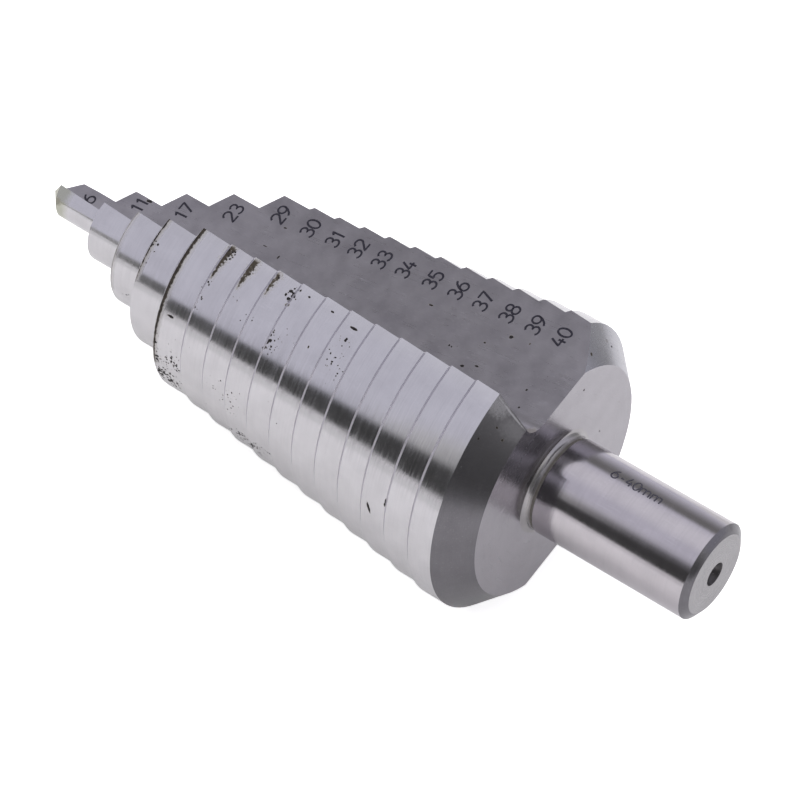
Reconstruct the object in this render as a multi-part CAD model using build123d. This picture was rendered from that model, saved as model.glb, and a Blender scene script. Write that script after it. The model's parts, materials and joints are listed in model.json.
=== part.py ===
from build123d import *
from itertools import combinations
from math import acos, cos, degrees, radians, sin, tan
import os

# A step drill for sheet metal, turned and ground from one bar of high-speed steel.
# Sizes are in millimetres, and angles in degrees. While the drill is built its axis is X, its
# point is at the origin and its shank is towards +X. The first of its two lobes lies on the +Z
# side, with its cutting edge towards +Y. The second is the first turned half way round the axis.
# At the end the drill is laid down as it comes to rest on a bench.

# Nose: the first land, with its length from the point
nose_diameter = 6.0
nose_length = 8.95

# Coarse steps: four lands that grow by one rise in diameter
second_diameter = 11.0
coarse_rise = 6.0
second_land = 4.8
third_land = 4.15
fourth_land = 4.65
fifth_land = 4.5

# Fine steps: lands that grow by a small rise, at one pitch, to the last and widest land
fine_diameter = 30.0
fine_rise = 1.0
fine_pitch = 4.0
last_diameter = 40.0
last_land = 3.35

# Included angles of the shoulders in front of the coarse and the fine lands
coarse_shoulder_angle = 118.0
fine_shoulder_angle = 90.0

# Rear of the stepped body: a chamfer down to a flat ground face
rear_chamfer_length = 3.8
rear_face_diameter = 32.4

# Point: its included angle at the cutting lips, and the lean that backs each flank off its lip
point_angle = 110.0
point_lean = 8.0

# Relief: how far each lobe's turning axis is set off to its cutting edge, so that every land falls
# away behind the edge
relief_offset = 0.23

# Flutes: the flat trailing face, measured from the axis at the rear face, and its slope
trailing_face_offset = 13.15
trailing_face_slope = 9.32

# Flutes: the cutting face, measured behind the axis at the rear face, its slope and its rake
cutting_face_offset = 4.43
cutting_face_slope = 2.87
rake_angle = 6.7

# Flutes: the radius of the root, which widens from the point to the rear face
front_root_radius = 0.9
rear_root_radius = 3.0

# Shank: plain and round, with a chamfered end
shank_diameter = 13.0
shank_length = 23.7
shank_face_diameter = 10.8
shank_chamfer_length = 0.7

# Neck between the rear face and the shank: a hollow fillet that runs into a shallow groove
neck_length = 1.3
neck_fillet = 0.85
neck_depth = 0.2
shank_edge_chamfer = 0.1

# Centre hole in the shank's end: a cone and a pilot
centre_diameter = 3.2
centre_angle = 60.0
pilot_diameter = 1.6
pilot_depth = 3.0
pilot_bottom_angle = 118.0

# How far cutting tools run past the metal that they cut
overrun = 1.0

ORIGIN = Vector(0, 0, 0)
coarse_lands = (second_land, third_land, fourth_land, fifth_land)


def run_of(rise, included_angle):
    """Axial run of a cone that rises by this much radius."""
    return rise / tan(radians(included_angle / 2))


def list_steps():
    """Diameter, land length and shoulder angle of each step behind the nose."""
    coarse = []
    for place, land in enumerate(coarse_lands):
        coarse.append((second_diameter + coarse_rise * place, land, coarse_shoulder_angle))
    fine = []
    fine_land = fine_pitch - run_of(fine_rise / 2, fine_shoulder_angle)
    for place in range(round((last_diameter - fine_diameter) / fine_rise)):
        fine.append((fine_diameter + fine_rise * place, fine_land, fine_shoulder_angle))
    return coarse + fine + [(last_diameter, last_land, fine_shoulder_angle)]


def outline_of_steps():
    """Distance from the point and radius, at both ends of every land."""
    ends = [(0.0, nose_diameter / 2), (nose_length, nose_diameter / 2)]
    for diameter, land, angle in list_steps():
        distance, radius = ends[-1]
        start = distance + run_of(diameter / 2 - radius, angle)
        ends += [(start, diameter / 2), (start + land, diameter / 2)]
    return ends


step_outline = outline_of_steps()
last_land_end = step_outline[-1][0]
rear_face = last_land_end + rear_chamfer_length
shank_end = rear_face + shank_length


def make_point_cutter():
    """What a wheel takes off in front of the first lobe's flank, a cone that leans to the lip."""
    lip_angle = radians(point_angle / 2)
    lean = radians(point_lean)
    across = cos(radians(45))
    half_angle = degrees(acos(cos(lip_angle) * cos(lean) + sin(lip_angle) * sin(lean) * across))
    reach = nose_diameter / 2 + overrun
    outline = Polyline(
        (0, 0), (run_of(reach, 2 * half_angle), reach), (-overrun, reach), (-overrun, 0), close=True
    )
    cutter = revolve(make_face(outline), Axis.X)
    return cutter.rotate(Axis(ORIGIN, (0, 1, 1)), point_lean)


def make_lobe():
    """Half of the stepped body, turned about an axis that is set off to its cutting edge."""
    outline = Polyline(
        (0, relief_offset),
        *step_outline,
        (rear_face, rear_face_diameter / 2),
        (rear_face, relief_offset),
        close=True,
    )
    axis = Axis((0, relief_offset, 0), (1, 0, 0))
    return revolve(make_face(outline), axis, revolution_arc=180) - make_point_cutter()


def section_of_flute(distance, root_radius):
    """A flute's cross section at a distance from the point, with its root rounded."""
    rake = tan(radians(rake_angle))
    ahead = distance - rear_face
    root_y = trailing_face_offset + ahead * tan(radians(trailing_face_slope))
    root_z = cutting_face_offset + ahead * tan(radians(cutting_face_slope)) - rake * root_y
    reach = last_diameter
    wedge = Polyline(
        (root_y, root_z),
        (root_y, root_z - reach),
        (root_y + reach, root_z - reach),
        (root_y + reach, root_z - rake * reach),
        close=True,
    )
    section = Plane(origin=(distance, 0, 0), x_dir=(0, 1, 0), z_dir=(1, 0, 0)) * make_face(wedge)
    root = section.vertices().sort_by_distance((distance, root_y, root_z))[0]
    return fillet(root, root_radius)


def make_flute():
    """The wedge that a wheel grinds out in front of the first lobe's cutting edge."""
    front = section_of_flute(-overrun, front_root_radius)
    rear = section_of_flute(rear_face + overrun, rear_root_radius)
    return loft([front, rear], ruled=True)


def make_shank():
    """The neck and the shank, with the centre hole in its end."""
    radius = shank_diameter / 2
    neck = radius - neck_depth
    inside = rear_face - overrun
    on_arc = neck_fillet * (1 - cos(radians(45)))
    fillet_arc = ThreePointArc(
        (rear_face, neck + neck_fillet),
        (rear_face + on_arc, neck + on_arc),
        (rear_face + neck_fillet, neck),
    )
    start = rear_face + neck_length
    rest_of_outline = Polyline(
        (rear_face + neck_fillet, neck),
        (start, neck),
        (start, radius - shank_edge_chamfer),
        (start + shank_edge_chamfer, radius),
        (shank_end - shank_chamfer_length, radius),
        (shank_end, shank_face_diameter / 2),
        (shank_end, 0),
        (inside, 0),
        (inside, neck + neck_fillet),
        (rear_face, neck + neck_fillet),
    )
    return revolve(make_face([fillet_arc, rest_of_outline]), Axis.X) - make_centre_hole()


def make_centre_hole():
    """The cone and the pilot of the centre hole."""
    pilot = pilot_diameter / 2
    mouth = centre_diameter / 2
    cone_end = shank_end - run_of(mouth - pilot, centre_angle)
    bottom = cone_end - pilot_depth
    outline = Polyline(
        (bottom - run_of(pilot, pilot_bottom_angle), 0),
        (bottom, pilot),
        (cone_end, pilot),
        (shank_end, mouth),
        (shank_end + overrun, mouth),
        (shank_end + overrun, 0),
        close=True,
    )
    return revolve(make_face(outline), Axis.X)


def make_drill():
    """The whole drill, with its point at the origin and its axis along X."""
    lobe = make_lobe()
    flute = make_flute()
    body = lobe + lobe.rotate(Axis.X, 180) - flute - flute.rotate(Axis.X, 180)
    return body + make_shank()


def is_inside(foot, corners, up):
    """Whether a point of the plane of three corners lies between them."""
    turns = []
    for place in range(3):
        here = corners[place]
        side = corners[(place + 1) % 3] - here
        turns.append(side.cross(foot - here).dot(up))
    return min(turns) > 0 or max(turns) < 0


def find_up(drill):
    """Upward direction when the drill lies on its second flute, on the corners beside it."""
    centre = drill.center(CenterOf.MASS)
    corners = [Vector(*corner) for corner in drill.vertices() if corner.Y < -nose_diameter / 4]
    for three in combinations(corners, 3):
        normal = (three[1] - three[0]).cross(three[2] - three[0])
        if normal.length < 1e-6:
            continue
        height = normal.normalized().dot(centre - three[0])
        up = normal.normalized() * (1 if height > 0 else -1)
        if any(up.dot(corner - three[0]) < -1e-5 for corner in corners):
            continue
        if up.Y > 0 and is_inside(centre - up * abs(height), three, up):
            return up
    raise ValueError("the drill finds no rest on its second flute")


def lay_down(drill):
    """The drill at rest: its shank end towards +X, its box's bottom centre at the origin."""
    up = find_up(drill)
    ahead = Vector(1, 0, 0) - up * up.X
    resting = Plane(origin=ORIGIN, x_dir=ahead, z_dir=up)
    laid = resting.to_local_coords(drill)
    box = laid.bounding_box()
    middle = box.center()
    return laid.translate((-middle.X, -middle.Y, -box.min.Z))


step_drill = lay_down(make_drill())

os.makedirs("parts", exist_ok=True)
export_step(step_drill, "parts/step_drill.step")
print("volume", round(step_drill.volume, 1), "mm3, box", step_drill.bounding_box())
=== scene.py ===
"""Looks of a step drill: ground high-speed steel with marked steps, lying on a pale floor.

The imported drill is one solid. A merged copy of it gets fine edge breaks and one finish for each kind
of ground surface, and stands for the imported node. The size marks are thin strokes on the flute face.
Sizes are in millimetres where a class holds them, and in metres in Blender.
"""

import json
import logging
import math
from collections.abc import Callable
from dataclasses import dataclass, field
from enum import Enum

import bmesh
import bpy
from mathutils import Matrix, Vector


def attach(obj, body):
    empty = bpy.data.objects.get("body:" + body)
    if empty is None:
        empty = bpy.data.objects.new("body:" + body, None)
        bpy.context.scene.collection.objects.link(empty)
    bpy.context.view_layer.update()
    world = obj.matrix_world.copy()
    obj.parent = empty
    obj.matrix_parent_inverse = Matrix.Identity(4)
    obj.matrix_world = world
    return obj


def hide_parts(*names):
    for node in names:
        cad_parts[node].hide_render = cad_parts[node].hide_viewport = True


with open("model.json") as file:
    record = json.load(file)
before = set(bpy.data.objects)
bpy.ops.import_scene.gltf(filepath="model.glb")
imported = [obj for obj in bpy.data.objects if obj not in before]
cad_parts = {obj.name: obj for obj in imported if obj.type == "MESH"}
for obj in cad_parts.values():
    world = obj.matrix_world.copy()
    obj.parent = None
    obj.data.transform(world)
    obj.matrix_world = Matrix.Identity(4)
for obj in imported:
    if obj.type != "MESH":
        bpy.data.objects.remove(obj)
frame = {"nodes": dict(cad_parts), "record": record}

MM = 0.001
Socket = bpy.types.NodeSocket
BODY = "root"
NODE = "step_drill"

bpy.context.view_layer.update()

log = logging.getLogger("step_drill")

# A Mix node on colours takes them at places 6 and 7 and gives the mix at place 2
COLOURS = {"data_type": "RGBA", "output": 2}
# How fast the finer layers of every soft noise fade
SOFT = {"Roughness": 0.55}


def linear(hex_colour: str, alpha: float = 1.0) -> tuple[float, float, float, float]:
    """Turns an sRGB hex colour to the linear values that Blender's sockets take.

    Args:
        hex_colour: Six hex digits, with or without a leading #.
        alpha: The fourth value.

    Returns:
        Red, green, blue and alpha, each from 0 to 1.
    """
    digits = hex_colour.lstrip("#")
    values = []
    for place in (0, 2, 4):
        value = int(digits[place:place + 2], 16) / 255
        values.append(value / 12.92 if value <= 0.04045 else ((value + 0.055) / 1.055) ** 2.4)
    return (values[0], values[1], values[2], alpha)


def add_node(
    tree: bpy.types.NodeTree,
    kind: str,
    *values: object,
    inputs: dict[str | int, object] | None = None,
    **settings: object,
) -> bpy.types.Node:
    """Adds a node with its settings, values and links.

    Args:
        tree: The node tree that takes it.
        kind: Blender's name for the type of node, without ShaderNode in front, or the operation
            of a Math node, in capitals.
        values: For the first inputs in turn, a value or the socket that feeds it.
        inputs: The same for other inputs, by name or place.
        settings: The node's own properties.

    Returns:
        The new node.
    """
    if kind.isupper():
        settings["operation"] = kind
        kind = "Math"
    node = tree.nodes.new("ShaderNode" + kind)
    for name, value in settings.items():
        setattr(node, name, value)
    for key, value in (dict(enumerate(values)) | (inputs or {})).items():
        if isinstance(value, Socket):
            tree.links.new(value, node.inputs[key])
        else:
            node.inputs[key].default_value = value
    return node


def new_material(name: str) -> bpy.types.Material:
    """Makes a material with an empty node tree.

    Args:
        name: Its name.

    Returns:
        The new material.
    """
    material = bpy.data.materials.new(name)
    material.use_nodes = True
    material.node_tree.nodes.clear()
    return material


def set_ramp(node: bpy.types.Node, stops: tuple[tuple[float, object], ...]) -> None:
    """Sets the stops of a colour ramp.

    Args:
        node: The colour ramp.
        stops: Place and linear colour or grey value of each stop, from left to right.
    """
    elements = node.color_ramp.elements
    while len(elements) < len(stops):
        elements.new(1.0)
    for element, (place, tone) in zip(elements, stops):
        element.position = place
        element.color = tone if isinstance(tone, tuple) else (tone, tone, tone, 1.0)


def new_object(
    name: str, mesh: bmesh.types.BMesh, materials: list[bpy.types.Material]
) -> bpy.types.Object:
    """Makes an object at the origin from a bmesh, frees the bmesh and reports the piece.

    Args:
        name: The piece's name.
        mesh: Its geometry, in metres, in the frame.
        materials: Its material slots, in order.

    Returns:
        The new object, linked to the scene.
    """
    data = bpy.data.meshes.new(name)
    mesh.to_mesh(data)
    mesh.free()
    for material in materials:
        data.materials.append(material)
    piece = bpy.data.objects.new(name, data)
    bpy.context.scene.collection.objects.link(piece)
    log.info("%s: %d faces", name, len(data.polygons))
    return piece


@dataclass(frozen=True)
class DrillAxis:
    """The drill's own axes, worked out from the shank's mount.

    Distances run along the axis from the point. The first lobe's cutting edge lies on its +Y side.
    """

    point_to_shank_middle: float = 93.81
    roll: float = 24.695

    def to_frame(self) -> Matrix:
        """Works out how the drill's own axes lie in the frame.

        Returns:
            The matrix that turns a place on them, in metres, to the frame.
        """
        mount = frame["record"]["mounts"][0]
        along = Vector(mount["axis"]).normalized()
        point = Vector(mount["pos_m"]) - along * self.point_to_shank_middle * MM
        side = Vector((0, 0, 1)).cross(along).normalized()
        above = along.cross(side)
        turn = math.radians(self.roll)
        y_axis = above * math.cos(turn) - side * math.sin(turn)
        z_axis = along.cross(y_axis)
        turned = Matrix((along, y_axis, z_axis)).transposed().to_4x4()
        return Matrix.Translation(point) @ turned


TO_FRAME = DrillAxis().to_frame()
TO_AXIS = TO_FRAME.inverted()


class Run(Enum):
    """Which way the fine lines of a ground or turned surface run."""

    ROUND = "round the axis, on a cylinder or a cone"
    FACE = "round the axis, on a flat face"
    FLUTE = "along a flute"


@dataclass(frozen=True)
class Streak:
    """Burnt cutting oil along the front edge of a land, from the cutting edge round the land; the same
    mark also paints shade along a shoulder and round the neck's groove.

    Attributes:
        along: Distance of the streak's middle from the point.
        width: Its width where it is widest.
        reach: How far round the land it goes, in degrees from the +Y side.
        ragged: How uneven its edges are, from 0 to 1.
        strength: How thick it lies, from 0 to 1.
        start: Where it starts, in degrees from the +Y side.
    """

    along: float
    width: float
    reach: float
    ragged: float = 0.7
    strength: float = 0.97
    start: float = 0.0


@dataclass(frozen=True)
class Spot:
    """An oval place on the drill: a nick, a stain, a patch of pits or a darker patch.

    Attributes:
        along: Distance of its middle from the point or, on a flat end, out from the axis.
        across: Degrees round the axis from the +Y side or, on a flute, distance out from the axis.
        half_length: Half its size along the axis.
        half_width: Half its size the other way.
        strength: How dark it is, or how many pits it adds, from 0 to 1.
        slant: How far it leans along the axis for each unit across.
    """

    along: float
    across: float
    half_length: float
    half_width: float
    strength: float = 1.0
    slant: float = 0.0


@dataclass(frozen=True)
class Steel:
    """High-speed steel with a ground or turned finish: bare metal, a little warm or violet.

    Attributes:
        colour: The clean metal.
        shade: The metal where it is dulled by handling.
        roughness: The finish, from mirror to matt.
        roughness_spread: How much the finish differs from one grinding line to the next.
        line_spacing: The distance between grinding lines.
        line_depth: Their depth.
        blotch_size: The size of the dull patches.
        blotch_share: How much they show.
        pit_size: The size of the dark rust pits.
        pit_share: How many there are all over, from 0 to 1.
        pit_patches: Places with more of them.
        scratch_share: How much fine scratches show.
        soot_and_shade_roughness: The finish of the burnt oil, rust and painted shade on it.
        rubs: Places that are rubbed pale.
        stain_end: How far from the point the steel is stained green-grey.
    """

    name: str
    colour: str
    shade: str
    roughness: float
    roughness_spread: float
    run: Run
    line_spacing: float = 0.2
    line_depth: float = 0.0008
    blotch_size: float = 3.0
    blotch_share: float = 0.35
    pit_size: float = 0.16
    pit_share: float = 0.3
    pit_patches: tuple[Spot, ...] = ()
    scratch_share: float = 0.1
    soot_and_shade_roughness: float = 0.7
    rubs: tuple[Spot, ...] = ()
    stain_end: float = 0.0
    streaks: tuple[Streak, ...] = ()
    spots: tuple[Spot, ...] = ()

    def material(self) -> bpy.types.Material:
        """Builds the material on the drill's own axes.

        Returns:
            The new material.
        """
        material = new_material(self.name)
        draw = SteelNodes(material.node_tree, self)
        colour, roughness = draw.metal()
        # Burnt oil, rust and painted shade, drawn alike as one dark layer
        dirt_and_shade = draw.dirt_and_shade()
        cover = draw.add("MapRange", dirt_and_shade, 0, 0.5, 0, 1)
        relief = {"Strength": 1.0, "Distance": self.line_depth * MM, "Height": draw.lines}
        finish = {
            "Base Color": draw.add("Mix", cover, inputs={6: colour, 7: draw.soot_and_shade(dirt_and_shade)}, **COLOURS),
            "Metallic": draw.add("SUBTRACT", 1.0, cover),
            "Roughness": draw.add("Mix", cover, inputs={2: roughness, 3: self.soot_and_shade_roughness}),
            "Specular IOR Level": 0.3,
            "Normal": draw.add("Bump", inputs=relief),
        }
        shader = draw.add("BsdfPrincipled", inputs=finish)
        add_node(material.node_tree, "OutputMaterial", shader)
        return material


class SteelNodes:
    """The nodes of one steel finish, on the drill's own axes in millimetres."""

    LEAST_ROUGHNESS = 0.05
    SCRATCHED = linear("#e9e7ec")
    STAINED = linear("#a5a694")
    # Colours of burnt oil and rust, also used for painted shade
    SOOT_AND_SHADE = ((0.15, linear("#77705c")), (0.5, linear("#3f382d")), (0.75, linear("#191516")))

    def __init__(self, tree: bpy.types.NodeTree, steel: Steel) -> None:
        """Starts with the place on the drill, its grinding lines and its ragged noise.

        Args:
            tree: The material's node tree.
            steel: The finish to draw.
        """
        self.tree = tree
        self.steel = steel
        here = self.add("TexCoord", output="Object")
        axes = (TO_FRAME.translation, TO_FRAME.to_euler(), (MM, MM, MM))
        self.place = self.add("Mapping", here, *axes, vector_type="TEXTURE")
        self.along, self.y, self.z = add_node(tree, "SeparateXYZ", self.place).outputs
        if steel.run is Run.FACE:
            squares = [self.add("POWER", side, 2.0) for side in (self.y, self.z)]
            square = self.add("ADD", *squares)
            self.along = self.add("SQRT", square)
        self.across = self._across()
        self.lines = self._lines()
        self.ragged = self.clouds(0.35, 5.0)

    def add(self, kind: str, *values: object, output: int | str = 0, **more: object) -> Socket:
        """Adds a node as add_node does, and gives the output of this place or name."""
        return add_node(self.tree, kind, *values, **more).outputs[output]

    def clouds(self, size: float, detail: float) -> Socket:
        """Draws soft clouds.

        Args:
            size: The size of a cloud.
            detail: How many finer layers it has.

        Returns:
            How dense they are, from 0 to 1.
        """
        noise = {"Vector": self.place, "Scale": 1.0 / size, "Detail": detail, **SOFT}
        return self.add("TexNoise", inputs=noise)

    def _across(self) -> Socket:
        """Measures across the surface.

        Returns:
            Degrees round the axis or, on a flute, the distance out from it.
        """
        if self.steel.run is Run.FLUTE:
            return self.add("MULTIPLY", self.z, -1.0)
        turned = self.add("ARCTAN2", self.z, self.y)
        return self.add("MULTIPLY", turned, math.degrees(1))

    def _lines(self) -> Socket:
        """Draws grinding lines: noise that is stretched along them.

        Returns:
            Their height, from 0 to 1.
        """
        through, ahead, aside = self.along, self.y, self.z
        if self.steel.run is Run.FLUTE:
            through = self.add("MULTIPLY_ADD", self.y, 0.3, self.z)
            ahead, aside = self.along, 0.0
        slow = 0.12
        stretched = self.add(
            "CombineXYZ",
            self.add("DIVIDE", through, self.steel.line_spacing),
            self.add("MULTIPLY", ahead, slow),
            self.add("MULTIPLY", aside, slow),
        )
        noise = self.add("TexNoise", inputs={"Vector": stretched, "Scale": 1.0, "Detail": 3.0, **SOFT})
        return self.add("MapRange", noise, 0.3, 0.7, 0, 1)

    def metal(self) -> tuple[Socket, Socket]:
        """The bare metal's colour and roughness.

        Returns:
            The colour, with dull blotches, faint lines, scratches and the stain at the point, and
            the roughness, which differs from line to line and over the surface.
        """
        steel = self.steel
        blotches = self.clouds(steel.blotch_size, 4.0)
        dull = self.add("MapRange", blotches, 0.35, 0.7, 0, steel.blotch_share)
        shade = self.add("MULTIPLY_ADD", self.lines, 0.15, dull)
        tones = {6: linear(steel.colour), 7: linear(steel.shade)}
        colour = self.add("Mix", shade, inputs=tones, **COLOURS)
        scratches = self._scratches()
        colour = self.add("Mix", scratches, inputs={6: colour, 7: self.SCRATCHED}, **COLOURS)
        if steel.stain_end:
            edge = self.add("MULTIPLY_ADD", self.ragged, -1.2, steel.stain_end)
            inside = self.add("SUBTRACT", edge, self.along)
            stain = self.add("MapRange", inside, -0.5, 0.7, 0, 0.75)
            colour = self.add("Mix", stain, inputs={6: colour, 7: self.STAINED}, **COLOURS)
        handled = self.clouds(steel.blotch_size * 0.6, 2.0)
        uneven = self.add("ADD", self.lines, handled)
        centred = self.add("SUBTRACT", uneven, 1.0)
        spread = self.add("MULTIPLY", centred, steel.roughness_spread)
        rough = self.add("ADD", spread, steel.roughness)
        scratched = self.add("MULTIPLY_ADD", scratches, 0.2, rough)
        return colour, self.add("MAXIMUM", scratched, self.LEAST_ROUGHNESS)

    def _scratches(self) -> Socket:
        """Draws fine scratches in two directions, and rubbed places.

        Returns:
            How much they show, from 0 to 1.
        """
        pale = 0.0
        for turn in ((0.4, 0.9, 0.5), (1.2, 0.2, 2.3)):
            bent = self.add("Mapping", self.place, (0, 0, 0), turn, (0.35, 6.0, 6.0))
            noise = self.add("TexNoise", inputs={"Vector": bent, "Scale": 1.0, "Detail": 1.0, **SOFT})
            layer = self.add("MapRange", noise, 0.69, 0.75, 0, self.steel.scratch_share)
            pale = self.add("MAXIMUM", pale, layer)
        for rub in self.steel.rubs:
            layer = self.add("MapRange", self._inside(rub), -0.1, 0.9, 0, rub.strength)
            pale = self.add("MAXIMUM", pale, layer)
        return pale

    def soot_and_shade(self, dirt_and_shade: Socket) -> Socket:
        """Colours burnt oil, rust and painted shade, olive-brown where it is thin and black where it is
        thick.

        Args:
            dirt_and_shade: How thick the dirt and painted shade lie, from 0 to 1.

        Returns:
            Its colour.
        """
        ramp = add_node(self.tree, "ValToRGB", dirt_and_shade)
        set_ramp(ramp, self.SOOT_AND_SHADE)
        return ramp.outputs[0]

    def dirt_and_shade(self) -> Socket:
        """Draws the pits, the streaks and the spots.

        Returns:
            How thick burnt oil, dark rust and painted shade lie on the metal, from 0 to 1.
        """
        layers = [self._streak(streak) for streak in self.steel.streaks]
        for spot in self.steel.spots:
            layers.append(self.add("MapRange", self._inside(spot), -0.1, 0.5, 0, spot.strength))
        dirt_and_shade = self._pits()
        for layer in layers:
            dirt_and_shade = self.add("MAXIMUM", dirt_and_shade, layer)
        return dirt_and_shade

    def _inside(self, spot: Spot) -> Socket:
        """Above 0 inside a spot with a ragged edge, and below 0 outside it."""
        reach = self.add("MULTIPLY", self.ragged, 2.0)
        return self.add("SUBTRACT", reach, self._oval(spot))

    def _oval(self, spot: Spot) -> Socket:
        """Measures from the middle of a spot.

        Args:
            spot: The spot.

        Returns:
            The squared distance, which is 1 on the spot's edge.
        """
        far = self.add("SUBTRACT", self.along, spot.along)
        aside = self.add("SUBTRACT", self.across, spot.across)
        slanted = self.add("MULTIPLY_ADD", aside, -spot.slant, far)
        squares = []
        for offset, half in ((slanted, spot.half_length), (aside, spot.half_width)):
            share = self.add("DIVIDE", offset, half)
            squares.append(self.add("POWER", share, 2.0))
        return self.add("ADD", *squares)

    def _pits(self) -> Socket:
        """Draws small dark pits, thinly strewn and thicker in patches.

        Returns:
            How dark they are, from 0 to 1.
        """
        size = self.steel.pit_size
        noise = {"Vector": self.place, "Scale": 0.8 / size, "Detail": 2.0, **SOFT}
        warp = self.add("TexNoise", inputs=noise, output="Color")
        bent = self.add("VectorMath", warp, (size * 1.5,) * 3, self.place, operation="MULTIPLY_ADD")
        cells = add_node(self.tree, "TexVoronoi", inputs={"Vector": bent, "Scale": 0.45 / size}).outputs
        room = self.add("SUBTRACT", self.clouds(2.5, 3.0), 0.98 - self.steel.pit_share)
        for patch in self.steel.pit_patches:
            more = self.add("MapRange", self._oval(patch), 0.3, 1.3, patch.strength * 0.62, 0)
            room = self.add("ADD", room, more)
        growth = self.add("MULTIPLY", room, 1.4)
        chance = self.add("MULTIPLY", self.add("SeparateXYZ", cells["Color"]), 0.35)
        size_here = self.add("SUBTRACT", growth, chance)
        inside = self.add("SUBTRACT", size_here, cells["Distance"])
        return self.add("MapRange", inside, -0.02, 0.1, 0, 0.95)

    def _streak(self, streak: Streak) -> Socket:
        """Draws a streak with a thin brown rim, which narrows towards its end.

        Args:
            streak: The streak.

        Returns:
            How thick it lies, from 0 to 1.
        """
        far = self.add("SUBTRACT", self.along, streak.along)
        offset = self.add("ABSOLUTE", far)
        thin = self.add("MapRange", self.across, streak.reach * 0.5, streak.reach, 1, 0.3)
        centred = self.add("SUBTRACT", self.ragged, 0.5)
        uneven = self.add("MULTIPLY_ADD", centred, 5.0 * streak.ragged, 1.0)
        half = self.add("MULTIPLY", uneven, streak.width / 2)
        limit = self.add("MULTIPLY", half, thin)
        inside = self.add("SUBTRACT", limit, offset)
        core = self.add("MapRange", inside, -0.07, 0.09, 0, streak.strength)
        worn = self.add("MapRange", self.ragged, 0.38, 0.62, 0.82, 1)
        core = self.add("MULTIPLY", core, worn)
        rim = self.add("MapRange", inside, -0.55, 0, 0, 0.3 * streak.strength)
        layer = self.add("MAXIMUM", core, rim)
        fade = 3.0
        started = self.add("MapRange", self.across, streak.start - fade, streak.start, 0, 1)
        not_ended = self.add("MapRange", self.across, streak.reach, streak.reach + fade, 1, 0)
        shown = self.add("MULTIPLY", started, not_ended)
        return self.add("MULTIPLY", layer, shown)


@dataclass(frozen=True)
class LaserMark:
    """A laser mark: the steel is darkened to a thin matt oxide, nearly black with a blue tinge."""

    name: str = "laser_mark"
    colour: str = "#1c1a22"
    grain: str = "#3b3944"
    roughness: float = 0.6
    pulse: float = 0.06

    def material(self) -> bpy.types.Material:
        """Builds the material, with a fine grain from the overlapping pulses.

        Returns:
            The new material.
        """
        material = new_material(self.name)
        tree = material.node_tree
        here = add_node(tree, "TexCoord").outputs["Object"]
        noise = {"Vector": here, "Scale": 1 / (self.pulse * MM), "Detail": 2.0}
        grain = add_node(tree, "TexNoise", inputs=noise)
        colour = add_node(tree, "ValToRGB", grain.outputs[0])
        set_ramp(colour, ((0.35, linear(self.colour)), (0.8, linear(self.grain))))
        finish = {"Roughness": self.roughness, "Specular IOR Level": 0.2}
        shader = add_node(tree, "BsdfPrincipled", colour.outputs[0], inputs=finish)
        add_node(tree, "OutputMaterial", shader.outputs[0])
        return material


class Surface(Enum):
    """The kinds of surface on the drill, in the order of the piece's material slots."""

    LAND = 0
    SHOULDER = 1
    FLUTE = 2
    POINT = 3
    FIRST_CHAMFER = 4
    SECOND_CHAMFER = 5
    REAR_FACE = 6
    NECK = 7
    SHANK = 8
    END_FACE = 9
    CENTRE_HOLE = 10


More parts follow.
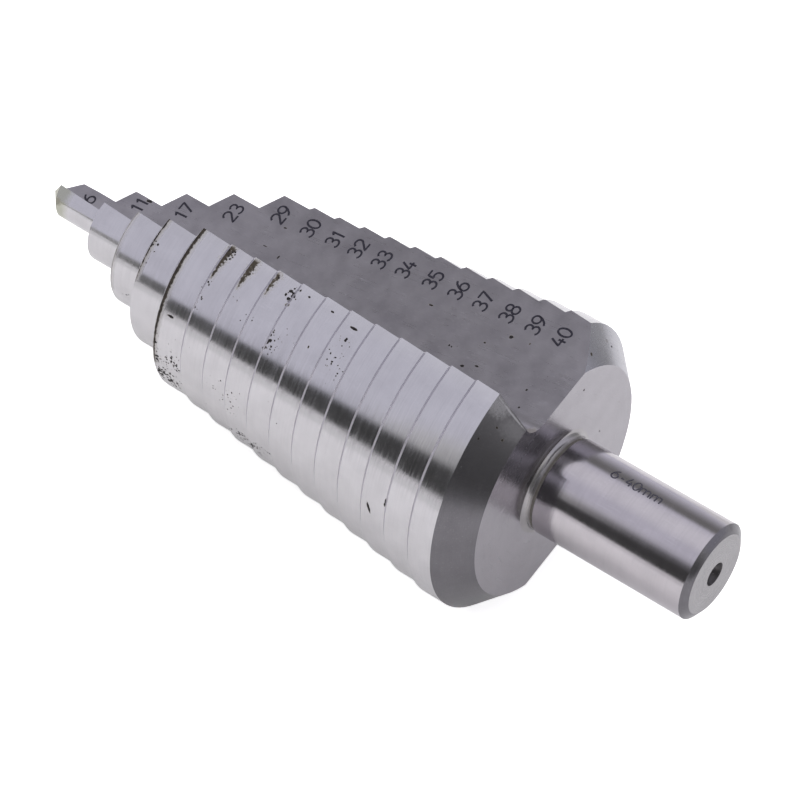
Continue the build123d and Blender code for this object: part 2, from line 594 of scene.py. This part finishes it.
@dataclass
class DrillBody:
    """The steel of the drill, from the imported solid, with its edges broken and its faces sorted.

    Attributes:
        root_reach: How far a flute's root reaches from the flat faces, in root radii.
        broken_angle: The least turn of an edge that is broken, in degrees.
        sharp_angle: The least turn of an edge that stays sharp.
        near: How far a face's middle may lie from a surface that it belongs to.
        slack: The same beside the end face and the centre hole.
        facing: The least cosine between its normal and that surface's.
        facing_back: The same on the rear face.
        leaning: The least share of the axis in a normal that leans along it.
    """

    point_end: float = 3.6
    last_land_end: float = 77.81
    rear_face: float = 81.61
    neck_length: float = 1.3
    neck_radius: float = 7.15
    shank_radius: float = 6.5
    shank_end: float = 105.31
    hole_radius: float = 1.6
    trailing_offset: float = 13.15
    trailing_slope: float = 9.32
    cutting_offset: float = 4.43
    cutting_slope: float = 2.87
    rake: float = 6.7
    front_root_radius: float = 0.9
    rear_root_radius: float = 3.0
    root_reach: float = 1.15
    merge_distance: float = 0.001
    flat_angle: float = 0.2
    edge_break: float = 0.04
    broken_angle: float = 20.0
    sharp_angle: float = 16.0
    near: float = 0.02
    slack: float = 0.05
    facing: float = 0.95
    facing_back: float = 0.9
    leaning: float = 0.3
    finishes: dict[Surface, Steel] = field(default_factory=dict)

    def build(self) -> None:
        """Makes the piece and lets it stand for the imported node."""
        mesh = bmesh.new()
        mesh.from_mesh(frame["nodes"][NODE].data)
        bmesh.ops.remove_doubles(mesh, verts=mesh.verts, dist=self.merge_distance * MM)
        flat = math.radians(self.flat_angle)
        bmesh.ops.dissolve_limit(mesh, angle_limit=flat, verts=mesh.verts, edges=mesh.edges)
        self._break_edges(mesh)
        bmesh.ops.triangulate(mesh, faces=[face for face in mesh.faces if len(face.verts) > 4])
        self._sort_faces(mesh)
        self._smooth(mesh)
        materials = [self.finishes[surface].material() for surface in Surface]
        piece = new_object("drill_steel", mesh, materials)
        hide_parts(NODE)
        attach(piece, BODY)

    def _break_edges(self, mesh: bmesh.types.BMesh) -> None:
        """Takes a hair's breadth off every sharp edge, as a stone does after grinding.

        Args:
            mesh: The steel, in metres.
        """
        limit = math.radians(self.broken_angle)
        sharp = [edge for edge in mesh.edges if edge.calc_face_angle(0) > limit]
        bmesh.ops.bevel(
            mesh, geom=sharp, offset=self.edge_break * MM, offset_type="OFFSET", affect="EDGES",
            segments=1, profile=0.5, material=-1, clamp_overlap=True,
        )

    def _sort_faces(self, mesh: bmesh.types.BMesh) -> None:
        """Gives each face the slot of the surface that it belongs to.

        Args:
            mesh: The steel, in metres.
        """
        turned = TO_AXIS.to_3x3()
        for face in mesh.faces:
            centre = TO_AXIS @ face.calc_center_median() / MM
            face.material_index = self._surface(centre, turned @ face.normal).value

    def _surface(self, centre: Vector, normal: Vector) -> Surface:
        """Tells what kind of surface a face belongs to.

        Args:
            centre: Its middle on the drill's own axes, in millimetres.
            normal: The way it faces.

        Returns:
            The kind of surface.
        """
        radius = math.hypot(centre.y, centre.z)
        if centre.x > self.rear_face + self.near:
            return self._shank_surface(centre.x, radius, normal)
        if centre.x > self.rear_face - self.near and normal.x > self.facing_back:
            return Surface.NECK if radius < self.neck_radius else Surface.REAR_FACE
        if self._on_flute(centre, normal):
            return Surface.FLUTE
        if centre.x < self.point_end and normal.x < -self.leaning:
            return Surface.POINT
        if centre.x > self.last_land_end and normal.x > self.leaning:
            # The near lobe's chamfer takes the darker copy, painted shade; the far lobe's keeps the
            # plain steel
            return Surface.FIRST_CHAMFER if centre.z > 0 else Surface.SECOND_CHAMFER
        return Surface.SHOULDER if normal.x < -self.leaning else Surface.LAND

    def _shank_surface(self, along: float, radius: float, normal: Vector) -> Surface:
        """Tells the kind of surface behind the stepped body.

        Args:
            along: Distance of the face's middle from the point.
            radius: Its distance from the axis.
            normal: The way it faces.

        Returns:
            The kind of surface.
        """
        if along < self.rear_face + self.neck_length:
            return Surface.NECK
        outside = radius > self.hole_radius + self.slack
        if along > self.shank_end - self.slack and outside:
            return Surface.END_FACE
        if not outside or radius < self.shank_radius / 2:
            return Surface.CENTRE_HOLE
        # The end chamfer takes the same darker copy, painted shade
        return Surface.FIRST_CHAMFER if normal.x > self.leaning else Surface.SHANK

    def _on_flute(self, centre: Vector, normal: Vector) -> bool:
        """Looks for a face on the four flat faces and in the roots of the flutes.

        Args:
            centre: Its middle on the drill's own axes, in millimetres.
            normal: The way it faces.

        Returns:
            Whether it lies on one of them.
        """
        rise = math.tan(math.radians(self.trailing_slope))
        fall = math.tan(math.radians(self.cutting_slope))
        rake = math.tan(math.radians(self.rake))
        back = centre.x - self.rear_face
        share = centre.x / self.rear_face
        growth = (self.rear_root_radius - self.front_root_radius) * share
        root = self.root_reach * (self.front_root_radius + growth)
        for sign in (1, -1):
            y, z = centre.y * sign, centre.z * sign
            to_trailing = (y - self.trailing_offset - rise * back) * math.cos(math.atan(rise))
            to_cutting = (self.cutting_offset + fall * back - rake * y - z) * math.cos(math.atan(rake))
            for gap, out in ((to_trailing, (-rise, 1, 0)), (to_cutting, (fall, -rake, -1))):
                if abs(gap) < self.near and Vector(out).normalized().dot(normal) * sign > self.facing:
                    return True
            in_root = -self.near < to_trailing < root and -self.near < to_cutting < root
            if in_root and abs(normal.x) < self.leaning:
                return True
        return False

    def _smooth(self, mesh: bmesh.types.BMesh) -> None:
        """Shades round faces smooth and keeps every ground edge sharp.

        Args:
            mesh: The steel, in metres.
        """
        for face in mesh.faces:
            face.smooth = True
        for edge in mesh.edges:
            edge.smooth = edge.calc_face_angle(0) < math.radians(self.sharp_angle)


@dataclass(frozen=True)
class Arc:
    """A stretch of an ellipse in a glyph's square: centre, half sizes, first and last angle."""

    x: float
    y: float
    half_width: float
    half_height: float
    first: float
    last: float

    def points(self) -> list[tuple[float, float]]:
        """Divides the arc.

        Returns:
            Points along it, one for about every 15 degrees.
        """
        count = max(2, round(abs(self.last - self.first) / 15))
        found = []
        for place in range(count + 1):
            angle = math.radians(self.first + (self.last - self.first) * place / count)
            found.append((
                self.x + self.half_width * math.cos(angle),
                self.y + self.half_height * math.sin(angle),
            ))
        return found


class SingleStrokeDigits:
    """Plain engraver's figures, each a few strokes in a box that is 1 high, y upwards."""

    WIDTH = 0.58
    PITCH = 0.72
    STROKES: dict[str, list[list[Arc | tuple[float, float]]]] = {
        "0": [[Arc(0.29, 0.5, 0.29, 0.5, 90, 450)]],
        "1": [[(0.06, 0.8), (0.26, 1), (0.26, 0)]],
        "2": [[Arc(0.29, 0.72, 0.29, 0.28, 165, -35), (0, 0), (0.58, 0)]],
        "3": [[Arc(0.27, 0.75, 0.25, 0.25, 150, -90), Arc(0.27, 0.27, 0.31, 0.27, 80, -150)]],
        "4": [[(0.3, 1), (0, 0.3), (0.58, 0.3)], [(0.4, 0.55), (0.4, 0)]],
        "5": [[(0.53, 1), (0.08, 1), (0.04, 0.58), Arc(0.28, 0.32, 0.3, 0.32, 120, -140)]],
        "6": [[(0.48, 1), (0.26, 0.86), (0.08, 0.6), Arc(0.29, 0.3, 0.29, 0.3, 180, 540)]],
        "7": [[(0, 1), (0.58, 1), (0.2, 0)]],
        "8": [[Arc(0.29, 0.76, 0.24, 0.24, -90, 270)], [Arc(0.29, 0.27, 0.29, 0.27, 90, 450)]],
        "9": [[(0.1, 0), (0.32, 0.14), (0.5, 0.4), Arc(0.29, 0.7, 0.29, 0.3, 0, 360)]],
        "-": [[(0.14, 0.42), (0.44, 0.42)]],
        "m": [
            [(0, 0.68), (0, 0)],
            [(0, 0.4), Arc(0.23, 0.45, 0.22, 0.23, 150, 0), (0.45, 0)],
            [(0.45, 0.4), Arc(0.68, 0.45, 0.22, 0.23, 150, 0), (0.9, 0)],
        ],
    }
    WIDE = {"m": 1.12, "1": 0.56}

    @classmethod
    def strokes(cls, text: str) -> list[list[tuple[float, float]]]:
        """Every stroke of a line of text, centred on the origin, as points.

        Args:
            text: Figures, a dash or the letter m.

        Returns:
            One list of points a stroke, in units of the figure height.
        """
        steps = [cls.WIDE.get(sign, cls.PITCH) for sign in text]
        start = -(sum(steps) - cls.PITCH + cls.WIDTH) / 2
        strokes = []
        for place, sign in enumerate(text):
            left = start + sum(steps[:place])
            for stroke in cls.STROKES[sign]:
                points = []
                for item in stroke:
                    points += item.points() if isinstance(item, Arc) else [item]
                strokes.append([(x + left, y - 0.5) for x, y in points])
        return strokes


@dataclass(frozen=True)
class SizeMark:
    """A step's size on the flute's face: its text and its place along the axis and out from it."""

    text: str
    along: float
    out: float
    height: float = 1.95


@dataclass
class SizeMarks:
    """The laser-marked step sizes on the flute's face, and the size range on the shank."""

    body: DrillBody
    stroke_width: float = 0.29
    proud: float = 0.008
    longest_piece: float = 0.15
    shank_text: str = "6-40mm"
    shank_text_along: float = 93.1
    shank_text_angle: float = -21.0
    shank_text_height: float = 1.45
    shank_stroke_width: float = 0.19
    marks: tuple[SizeMark, ...] = (
        SizeMark("6", 5.25, 1.1, 1.92), SizeMark("11", 12.4, 3.4), SizeMark("17", 18.7, 5.35),
        SizeMark("23", 24.95, 8.15), SizeMark("29", 31.1, 10.75), SizeMark("30", 36.05, 10.8),
        SizeMark("31", 40.15, 10.85), SizeMark("32", 43.9, 11), SizeMark("33", 47.8, 11),
        SizeMark("34", 51.55, 11.25), SizeMark("35", 55.8, 11.45), SizeMark("36", 59.75, 11.65),
        SizeMark("37", 63.7, 11.65), SizeMark("38", 67.8, 11.7), SizeMark("39", 71.85, 11.75),
        SizeMark("40", 75.8, 11.75),
    )

    def build(self) -> None:
        """Makes one thin piece for each mark, the shank's last."""
        face = LaserMark().material()
        worn = LaserMark(name="worn_laser_mark", colour="#34323b", grain="#5b5963").material()
        for mark in self.marks:
            name, width, lay = f"mark_{mark.text}", self.stroke_width, self._on_flute(mark)
            self._piece(name, mark.text, mark.height, width, lay, face)
        text, height, width = self.shank_text, self.shank_text_height, self.shank_stroke_width
        self._piece("mark_range", text, height, width, self._on_shank, worn)

    def _on_flute(self, mark: SizeMark) -> Callable[[Vector], Vector]:
        """Finds the flute's face at a mark.

        Args:
            mark: The mark.

        Returns:
            A function that lays a flat place, in millimetres, on the face.
        """
        rise = math.tan(math.radians(self.body.trailing_slope))
        along = Vector((1, rise, 0)).normalized()
        outward = Vector((0, 0, -1))
        normal = Vector((-rise, 1, 0)).normalized()
        height = self.body.trailing_offset + rise * (mark.along - self.body.rear_face)
        centre = Vector((mark.along, height, -mark.out))

        def lay(place: Vector) -> Vector:
            """Lays a flat place on the face."""
            return centre + outward * place.x - along * place.y + normal * place.z

        return lay

    def _on_shank(self, place: Vector) -> Vector:
        """Lays a flat place, in millimetres, round the shank.

        Args:
            place: Its x runs along the shank, y round it and z out of it.

        Returns:
            The place on the drill's own axes.
        """
        radius = self.body.shank_radius + place.z
        angle = math.radians(self.shank_text_angle) - place.y / self.body.shank_radius
        along = self.shank_text_along + place.x
        return Vector((along, radius * math.cos(angle), radius * math.sin(angle)))

    def _divide(self, stroke: list[tuple[float, float]]) -> list[tuple[float, float]]:
        """Cuts a stroke into pieces short enough to follow a round surface.

        Args:
            stroke: The points of its line.

        Returns:
            The same line with more points.
        """
        places = [stroke[0]]
        for first, last in zip(stroke, stroke[1:]):
            length = math.dist(first, last)
            count = max(1, math.ceil(length / self.longest_piece))
            for place in range(1, count + 1):
                share = place / count
                places.append((
                    first[0] + (last[0] - first[0]) * share,
                    first[1] + (last[1] - first[1]) * share,
                ))
        return places

    def _piece(
        self,
        name: str,
        text: str,
        height: float,
        width: float,
        lay: Callable[[Vector], Vector],
        material: bpy.types.Material,
    ) -> None:
        """Draws a text's strokes as round bars, flattens them and lays them on a surface.

        Args:
            name: The piece's name.
            text: What it says.
            height: The figure height.
            width: The width of a stroke.
            lay: Moves a flat place onto the surface, on the drill's own axes.
            material: The mark's material.
        """
        curve = bpy.data.curves.new(name, "CURVE")
        curve.dimensions = "3D"
        curve.bevel_depth = width / 2
        curve.bevel_resolution = 1
        curve.use_fill_caps = True
        for stroke in SingleStrokeDigits.strokes(text):
            places = self._divide([(x * height, y * height) for x, y in stroke])
            spline = curve.splines.new("POLY")
            spline.points.add(len(places) - 1)
            for point, (x, y) in zip(spline.points, places):
                point.co = (x, y, 0, 1)
        drawn = bpy.data.objects.new(name + "_strokes", curve)
        data = bpy.data.meshes.new_from_object(drawn)
        bpy.data.objects.remove(drawn)
        bpy.data.curves.remove(curve)
        mesh = bmesh.new()
        mesh.from_mesh(data)
        bpy.data.meshes.remove(data)
        bmesh.ops.remove_doubles(mesh, verts=mesh.verts, dist=0.001)
        for vertex in mesh.verts:
            flat = Vector((vertex.co.x, vertex.co.y, vertex.co.z * 2 * self.proud / width))
            vertex.co = TO_FRAME @ (lay(flat) * MM)
        bmesh.ops.recalc_face_normals(mesh, faces=mesh.faces)
        piece = new_object(name, mesh, [material])
        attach(piece, BODY)


def finishes() -> dict[Surface, Steel]:
    """Lists the finishes, with the dirt and the painted shade that this drill shows.

    Returns:
        The finish of each kind of surface.
    """
    burnt_streaks_and_shade = (
        # The first streak, by the 17 step's shoulder, is partly burnt oil and partly a painted shadow
        # line along the shoulder
        Streak(17.12, 0.16, 80, 0.4, 0.45), Streak(23.12, 0.2, 44, 1, 0.95),
        Streak(29.68, 0.55, 80, 0.35, 0.7), Streak(34.65, 1.05, 19, 0.8, 0.62, start=3),
        Streak(38.75, 1.1, 17, 0.8, 0.6, start=4), Streak(42.7, 0.7, 14, 1, 0.55, start=4.5),
    )
    land_spots = (
        Spot(2.6, 45, 0.9, 12, 0.25), Spot(70.1, 62, 0.3, 3, slant=-0.06),
        Spot(67.6, 69.5, 0.22, 2.4, slant=0.12), Spot(31.4, 47.7, 0.5, 0.7),
        Spot(46.2, 14, 0.4, 1.4, 0.5), Spot(46, 8.5, 0.2, 1, 0.8), Spot(56.1, 9.5, 0.55, 0.6),
        Spot(58.3, 13, 0.22, 0.6), Spot(48.2, 6.5, 0.2, 0.5), Spot(52.2, 7.5, 0.25, 0.5),
        Spot(52, 25, 0.12, 0.7, 0.6),
    )
    land_patches = (
        Spot(32, 76, 2.5, 24, 0.66), Spot(31, 98, 2.2, 16, 0.62), Spot(37, 88, 3, 18, 0.4),
        Spot(47, 76, 12, 24, 0.3), Spot(18.8, 75, 1.8, 20, 0.45), Spot(34.9, 6, 1.2, 5, 0.8),
        Spot(34.4, 28, 1.1, 13, 0.75), Spot(38.5, 28, 0.8, 14, 0.5), Spot(35.5, 53, 1.4, 9, 0.5),
        Spot(45.9, 8.5, 1.2, 5.5, 1), Spot(42.7, 9, 0.8, 6, 0.7), Spot(29.9, 74, 0.5, 22, 0.6),
        Spot(56.3, 24, 2, 15, 0.58), Spot(48.2, 29, 2.8, 11, 0.58), Spot(41, 26, 2.6, 11, 0.42),
        Spot(60, 60, 2.2, 7, 0.4), Spot(42, 68, 4, 10, 0.35), Spot(23.6, 24, 0.8, 13, 0.8),
        Spot(46.2, 30, 0.8, 14, 0.4), Spot(46, 92, 5, 10, 0.5),
    )
    flute_spots = (
        Spot(13.2, 4.5, 0.5, 0.22, slant=0.2), Spot(35.2, 5.2, 0.14, 0.3),
        Spot(33, 9.3, 0.3, 0.12, slant=0.4), Spot(32.4, 5.8, 0.4, 0.08), Spot(67.3, 2.6, 0.28, 0.2),
        Spot(69, 3.4, 0.32, 0.14), Spot(76.7, 3.4, 0.16, 0.16), Spot(77.4, 0.9, 0.14, 0.14),
        Spot(67.7, 6.7, 0.2, 0.14, 0.7), Spot(58, 8.2, 0.4, 0.16, 0.7),
        Spot(70.2, 8.9, 0.32, 0.28, 0.8), Spot(72.9, 9.1, 0.14, 0.16, 0.6),
        # The last spot darkens the flute's root where it meets the rear face
        Spot(80.1, 11.8, 0.2, 0.16), Spot(81.3, -2.1, 0.9, 1.5, 0.3),
    )
    flute_patches = (
        Spot(64.5, 4.6, 1.1, 0.8, 0.55), Spot(66, 6.3, 0.8, 0.6, 0.5), Spot(78, 4.5, 1.6, 2.2, 0.4),
        Spot(44, 5.8, 1.8, 0.5, 0.35), Spot(59, 6.2, 2, 0.4, 0.35),
    )
    rear_patches = (
        Spot(13.6, -86, 0.9, 9, 0.55), Spot(14.6, -18, 1, 7, 0.5), Spot(13, -38, 0.5, 3, 0.7),
    )
    rear_spots = (
        Spot(9.25, -97.6, 0.12, 0.8), Spot(12.98, -38, 0.16, 0.7, 0.7),
    )
    far_chamfer_spots = (
        Spot(80.4, -43, 0.2, 0.7, 0.55), Spot(79.8, -63.7, 0.12, 0.6),
        Spot(79.4, -59.7, 0.2, 1.2, 0.2), Spot(78.4, -57.7, 0.2, 0.9, 0.15),
    )
    near_chamfer_spots = (
        Spot(79.3, 15.5, 0.13, 0.5, 0.8), Spot(80.3, 18.2, 0.16, 0.6, 0.7),
        Spot(78.4, 22.2, 0.1, 0.5),
    )
    near_chamfer_rubs = (
        Spot(79.7, 8, 0.55, 2.1, 0.4, 1.09), Spot(78.4, 9, 1.3, 4.5, 0.22),
        Spot(80.6, 13, 1.4, 5, 0.1),
    )
    tip_spots = (Spot(0.7, 1.2, 1.3, 1.1, 0.4),)
    # A dark ring round the neck's groove: partly dirt, partly painted shade in the recess
    groove_dirt_and_shade = (Streak(82.68, 0.42, 200, 0.1, 0.4, start=-200),)
    return {
        # Lands, ground round: bright steel with sharp reflections that stretch round the axis
        Surface.LAND: Steel(
            "ground_land", "#c9c7ca", "#b1afb2", 0.15, 0.1, Run.ROUND, line_depth=0.0012,
            pit_size=0.19, pit_patches=land_patches, streaks=burnt_streaks_and_shade, spots=land_spots,
            stain_end=4.9,
        ),
        # Shoulders, off a coarser wheel: a soft even grey
        Surface.SHOULDER: Steel(
            "ground_shoulder", "#bfbcc3", "#a5a2a8", 0.4, 0.1, Run.FACE,
            pit_share=0.33, scratch_share=0.25,
        ),
        # Flutes, ground lengthwise: a cool satin grey with dull clouds and faint long lines
        Surface.FLUTE: Steel(
            "ground_flute", "#c0bcc1", "#9e9aa0", 0.3, 0.06, Run.FLUTE,
            line_spacing=0.15, blotch_share=0.6, pit_share=0.32,
            pit_patches=flute_patches, spots=flute_spots, scratch_share=0.15,
        ),
        # The point, stained by heat and oil: a dull green-grey
        Surface.POINT: Steel(
            "ground_point", "#a9a996", "#83826f", 0.35, 0.1, Run.FLUTE,
            spots=tip_spots, scratch_share=0.25,
        ),
        # The near chamfer and the end chamfer: a darker copy of the chamfer steel whose dark tone is
        # painted shade, with blurred reflections
        Surface.FIRST_CHAMFER: Steel(
            "shaded_chamfer", "#757377", "#656366", 0.24, 0.03, Run.ROUND,
            spots=near_chamfer_spots, rubs=near_chamfer_rubs,
        ),
        # The far chamfer, turned: the plain chamfer steel, paler than the painted shade on the near
        # one, with a soft sheen
        Surface.SECOND_CHAMFER: Steel(
            "turned_chamfer", "#b0afb6", "#98979d", 0.26, 0.04, Run.ROUND,
            pit_share=0.34, spots=far_chamfer_spots,
        ),
        # The rear face, ground flat: an even grey whose rings hardly show
        Surface.REAR_FACE: Steel(
            "ground_rear_face", "#aca9ae", "#9a969b", 0.26, 0.03, Run.FACE, line_depth=0.0003,
            pit_share=0.33, pit_patches=rear_patches, spots=rear_spots,
        ),
        # The turned neck: smooth and a little dark, with a dark ring in its groove that is partly dirt
        # and partly painted shade
        Surface.NECK: Steel(
            "turned_neck", "#a9a6a7", "#8e8b8d", 0.22, 0.05, Run.ROUND,
            streaks=groove_dirt_and_shade, scratch_share=0.05,
        ),
        # The shank, ground between centres: the smoothest steel here, nearly a mirror
        Surface.SHANK: Steel(
            "ground_shank", "#c1bcc0", "#a8a4a8", 0.14, 0.06, Run.ROUND,
            line_depth=0.0012, pit_share=0.31,
        ),
        # The faced end: fine turned rings that spread the light evenly
        Surface.END_FACE: Steel(
            "faced_end", "#9f9d9f", "#8a888a", 0.28, 0.06, Run.FACE, pit_share=0.33,
        ),
        # The centre hole: dark, with old oil between its tool marks
        Surface.CENTRE_HOLE: Steel(
            "centre_hole", "#5a5859", "#2c2a2b", 0.4, 0.2, Run.ROUND,
            line_spacing=0.3, line_depth=0.004, scratch_share=0.25,
        ),
    }


@dataclass(frozen=True)
class Floor:
    """A plain pale floor that runs far behind the drill.

    It takes the drill's shadow. The camera and the steel see it a little brighter than the lamps
    alone would make it, as an overexposed white table looks.

    Attributes:
        glow: How much plain white the camera sees on top of the lit floor.
        mirrored_glow: How much of it the steel reflects.
    """

    half_size: float = 3.0
    colour: str = "#f4f3ee"
    glow: float = 0.7
    mirrored_glow: float = 0.1

    def build(self) -> None:
        """Makes the floor."""
        material = new_material("pale_floor")
        tree = material.node_tree
        path = add_node(tree, "LightPath").outputs
        seen = add_node(tree, "MULTIPLY", path["Is Camera Ray"], self.glow)
        rays = (path["Is Glossy Ray"], path["Is Transmission Ray"])
        mirrored = add_node(tree, "ADD", *rays).outputs[0]
        parts = (mirrored, self.mirrored_glow, seen.outputs[0])
        strength = add_node(tree, "MULTIPLY_ADD", *parts)
        finish = {
            "Base Color": linear(self.colour),
            "Roughness": 1.0,
            "Specular IOR Level": 0.0,
            "Emission Color": linear("#ffffff"),
            "Emission Strength": strength.outputs[0],
        }
        shader = add_node(tree, "BsdfPrincipled", inputs=finish)
        add_node(tree, "OutputMaterial", shader.outputs[0])
        mesh = bmesh.new()
        bmesh.ops.create_grid(mesh, x_segments=1, y_segments=1, size=self.half_size)
        piece = new_object("floor", mesh, [material])


@dataclass(frozen=True)
class Card:
    """A grey card beside the drill that only reflections show, as a photographer sets one up.

    Attributes:
        first: Direction of its first end from the drill, in degrees from +X towards +Y.
        last: Direction of its last end.
        distance: How far it stands from the drill, in millimetres.
        heights: Its lower and upper edge at the first end, then at the last, in millimetres.
        tones: Its linear grey at places from the first end (0) to the last (1).
        cover: How solid it is at places from its lower edge (0) to its upper edge (1).
    """

    name: str
    first: float
    last: float
    distance: float
    heights: tuple[float, float, float, float]
    tones: tuple[tuple[float, float], ...]
    cover: tuple[tuple[float, float], ...]
    steps: int = 24

    def build(self) -> None:
        """Bends the card round the drill and hides it from all but reflections."""
        piece = new_object(self.name, self._mesh(), [self._material()])
        piece.visible_camera = False
        piece.visible_diffuse = False
        piece.visible_shadow = False

    def _material(self) -> bpy.types.Material:
        """Builds a grey glow that thins out to nothing at the card's edges.

        Returns:
            The new material.
        """
        material = new_material(self.name)
        tree = material.node_tree
        place = add_node(tree, "UVMap", uv_map="card").outputs[0]
        from_end, from_foot, _ = add_node(tree, "SeparateXYZ", place).outputs
        tone = add_node(tree, "ValToRGB", from_end)
        set_ramp(tone, self.tones)
        cover = add_node(tree, "ValToRGB", from_foot)
        set_ramp(cover, self.cover)
        glow = add_node(tree, "Emission", tone.outputs[0], 1.0).outputs[0]
        clear = add_node(tree, "BsdfTransparent").outputs[0]
        mixed = add_node(tree, "MixShader", cover.outputs[0], clear, glow)
        add_node(tree, "OutputMaterial", mixed.outputs[0])
        return material

    def _mesh(self) -> bmesh.types.BMesh:
        """Bends a strip round the drill.

        Returns:
            The strip, with its places from end to end and from foot to head as a UV map.
        """
        mesh = bmesh.new()
        start = Matrix.Rotation(math.radians(self.first), 4, "Z") @ Vector((self.distance * MM, 0, 0))
        low = mesh.verts.new(start)
        high = mesh.verts.new(start + Vector((0, 0, 1)))
        edge = mesh.edges.new((low, high))
        sweep = self.last - self.first
        bmesh.ops.spin(
            mesh, geom=[low, high, edge], cent=(0, 0, 0), axis=(0, 0, 1),
            angle=math.radians(sweep), steps=self.steps,
        )
        layer = mesh.loops.layers.uv.new("card")
        for face in mesh.faces:
            for loop in face.loops:
                place = loop.vert.co
                # A place a hair before the first end counts as below 0, not as a full turn
                turned = (math.degrees(math.atan2(place.y, place.x)) - self.first + 1) % 360 - 1
                loop[layer].uv = (min(max(turned / sweep, 0.0), 1.0), 1.0 if place.z > 0.5 else 0.0)
        for face in mesh.faces:
            for loop in face.loops:
                share, head = loop[layer].uv
                first, last = self.heights[round(head)], self.heights[round(head) + 2]
                loop.vert.co.z = (first + (last - first) * share) * MM
        return mesh


@dataclass(frozen=True)
class Lamp:
    """A soft square lamp that points at the drill and stays out of its reflections."""

    name: str
    place: tuple[float, float, float]
    size: float
    watts: float

    def build(self) -> None:
        """Hangs the lamp."""
        data = bpy.data.lights.new(self.name, "AREA")
        data.shape = "SQUARE"
        data.size = self.size
        data.energy = self.watts
        lamp = bpy.data.objects.new(self.name, data)
        lamp.location = self.place
        lamp.rotation_euler = (-Vector(self.place)).to_track_quat("-Z", "Y").to_euler()
        lamp.visible_glossy = False
        bpy.context.scene.collection.objects.link(lamp)


@dataclass
class Studio:
    """The floor, the cards, the lamps and the pale room round them."""

    room: str = "#e2e2ee"
    ceiling: str = "#f8f8ff"
    floor: Floor = Floor()
    cards: tuple[Card, ...] = (
        Card(
            "dark_front_card", -150, -50, 115, (0.5, 3, 7, 147),
            ((0, 0.75), (0.09, 0.6), (0.13, 0.45), (0.17, 0.3), (0.24, 0.11), (0.4, 0.065), (1, 0.06)),
            ((0, 0), (0.06, 1), (0.5, 1), (0.55, 0.93), (0.6, 0.65),
             (0.65, 0.28), (0.72, 0.08), (1, 0)),
        ),
        Card(
            "dark_side_card", -108, -50, 120, (0, 142, 0, 172),
            ((0, 0.76), (0.07, 0.6), (0.15, 0.36), (0.25, 0.08), (1, 0.05)),
            ((0, 0), (0.05, 1), (0.5, 0.9), (0.75, 0.25), (1, 0)),
        ),
        Card(
            "low_front_card", -150, -50, 75, (0, 14, 0, 14),
            ((0, 0.05), (1, 0.05)),
            ((0, 0), (0.15, 0.22), (0.6, 0.22), (1, 0)),
        ),
        Card(
            "dark_right_card", -50, 10, 150, (0, 180, 0, 150),
            ((0, 0.2), (0.35, 0.22), (0.47, 0.27), (0.62, 0.5), (0.78, 0.8), (1, 1)),
            ((0, 0), (0.05, 1), (0.75, 1), (1, 0)),
        ),
        Card(
            "dark_top_card", -60, 70, 100, (110, 320, 110, 320),
            ((0, 0.05), (1, 0.05)),
            ((0, 0), (0.15, 1), (0.85, 1), (1, 0)),
        ),
        Card(
            "low_right_card", -34, 12, 145, (0, 52, 0, 52),
            ((0, 0.2), (0.8, 0.13), (0.92, 0.4), (1, 0.9)),
            ((0, 0.9), (0.5, 0.9), (1, 0)),
        ),
        Card(
            "dark_far_card", 44, 92, 150, (0, 100, 0, 100),
            ((0, 0.7), (0.15, 0.33), (0.4, 0.36), (0.6, 0.5), (0.8, 0.7), (1, 0.9)),
            ((0, 0.5), (0.1, 1), (0.5, 0.85), (1, 0)),
        ),
        Card(
            "grey_back_card", 95, 190, 400, (60, 620, 180, 600),
            ((0, 0.24), (1, 0.17)),
            ((0, 0), (0.35, 0.8), (0.5, 1), (0.75, 1), (1, 0)),
        ),
    )
    lamps: tuple[Lamp, ...] = (
        Lamp("key", (-0.7, 0.05, 0.6), 0.5, 2.6),
        Lamp("fill", (-0.25, -0.6, 0.6), 0.6, 1.3),
    )

    def build(self) -> None:
        """Sets up the studio."""
        self.floor.build()
        for card in self.cards:
            card.build()
        for lamp in self.lamps:
            lamp.build()
        world = bpy.data.worlds.new("pale_room")
        bpy.context.scene.world = world
        world.use_nodes = True
        tree = world.node_tree
        tree.nodes.clear()
        way = add_node(tree, "TexCoord").outputs["Generated"]
        height = add_node(tree, "SeparateXYZ", way).outputs[2]
        level = add_node(tree, "ValToRGB", height)
        set_ramp(level, ((0.8, linear(self.room)), (0.9, linear(self.ceiling))))
        glow = add_node(tree, "Background", level.outputs[0], 1.0)
        add_node(tree, "OutputWorld", glow.outputs[0])


@dataclass(frozen=True)
class Camera:
    """The photograph's viewpoint: a long lens close above the drill, turned a little."""

    azimuth: float = 28.445
    elevation: float = 41.721
    roll: float = 14.61
    target: tuple[float, float, float] = (1.011, 7.469, 6.825)
    distance: float = 451.87
    lens: float = 159.01

    def build(self) -> None:
        """Makes the camera and gives it to the scene."""
        data = bpy.data.cameras.new("camera")
        data.lens = self.lens
        data.clip_start = 0.01
        azimuth = math.radians(self.azimuth)
        elevation = math.radians(self.elevation)
        back = Vector((
            math.sin(azimuth) * math.cos(elevation),
            -math.cos(azimuth) * math.cos(elevation),
            math.sin(elevation),
        ))
        camera = bpy.data.objects.new("camera", data)
        camera.location = (Vector(self.target) + back * self.distance) * MM
        level = (-back).to_track_quat("-Z", "Y").to_matrix()
        turned = level @ Matrix.Rotation(math.radians(self.roll), 3, "Z")
        camera.rotation_euler = turned.to_euler()
        bpy.context.scene.collection.objects.link(camera)
        bpy.context.scene.camera = camera


def main() -> None:
    """Builds the drill, its marks, the studio and the camera."""
    logging.basicConfig(level=logging.INFO)
    bpy.context.scene.view_settings.view_transform = "Standard"
    body = DrillBody(finishes=finishes())
    body.build()
    SizeMarks(body).build()
    Studio().build()
    Camera().build()


if __name__ == "__main__":
    main()
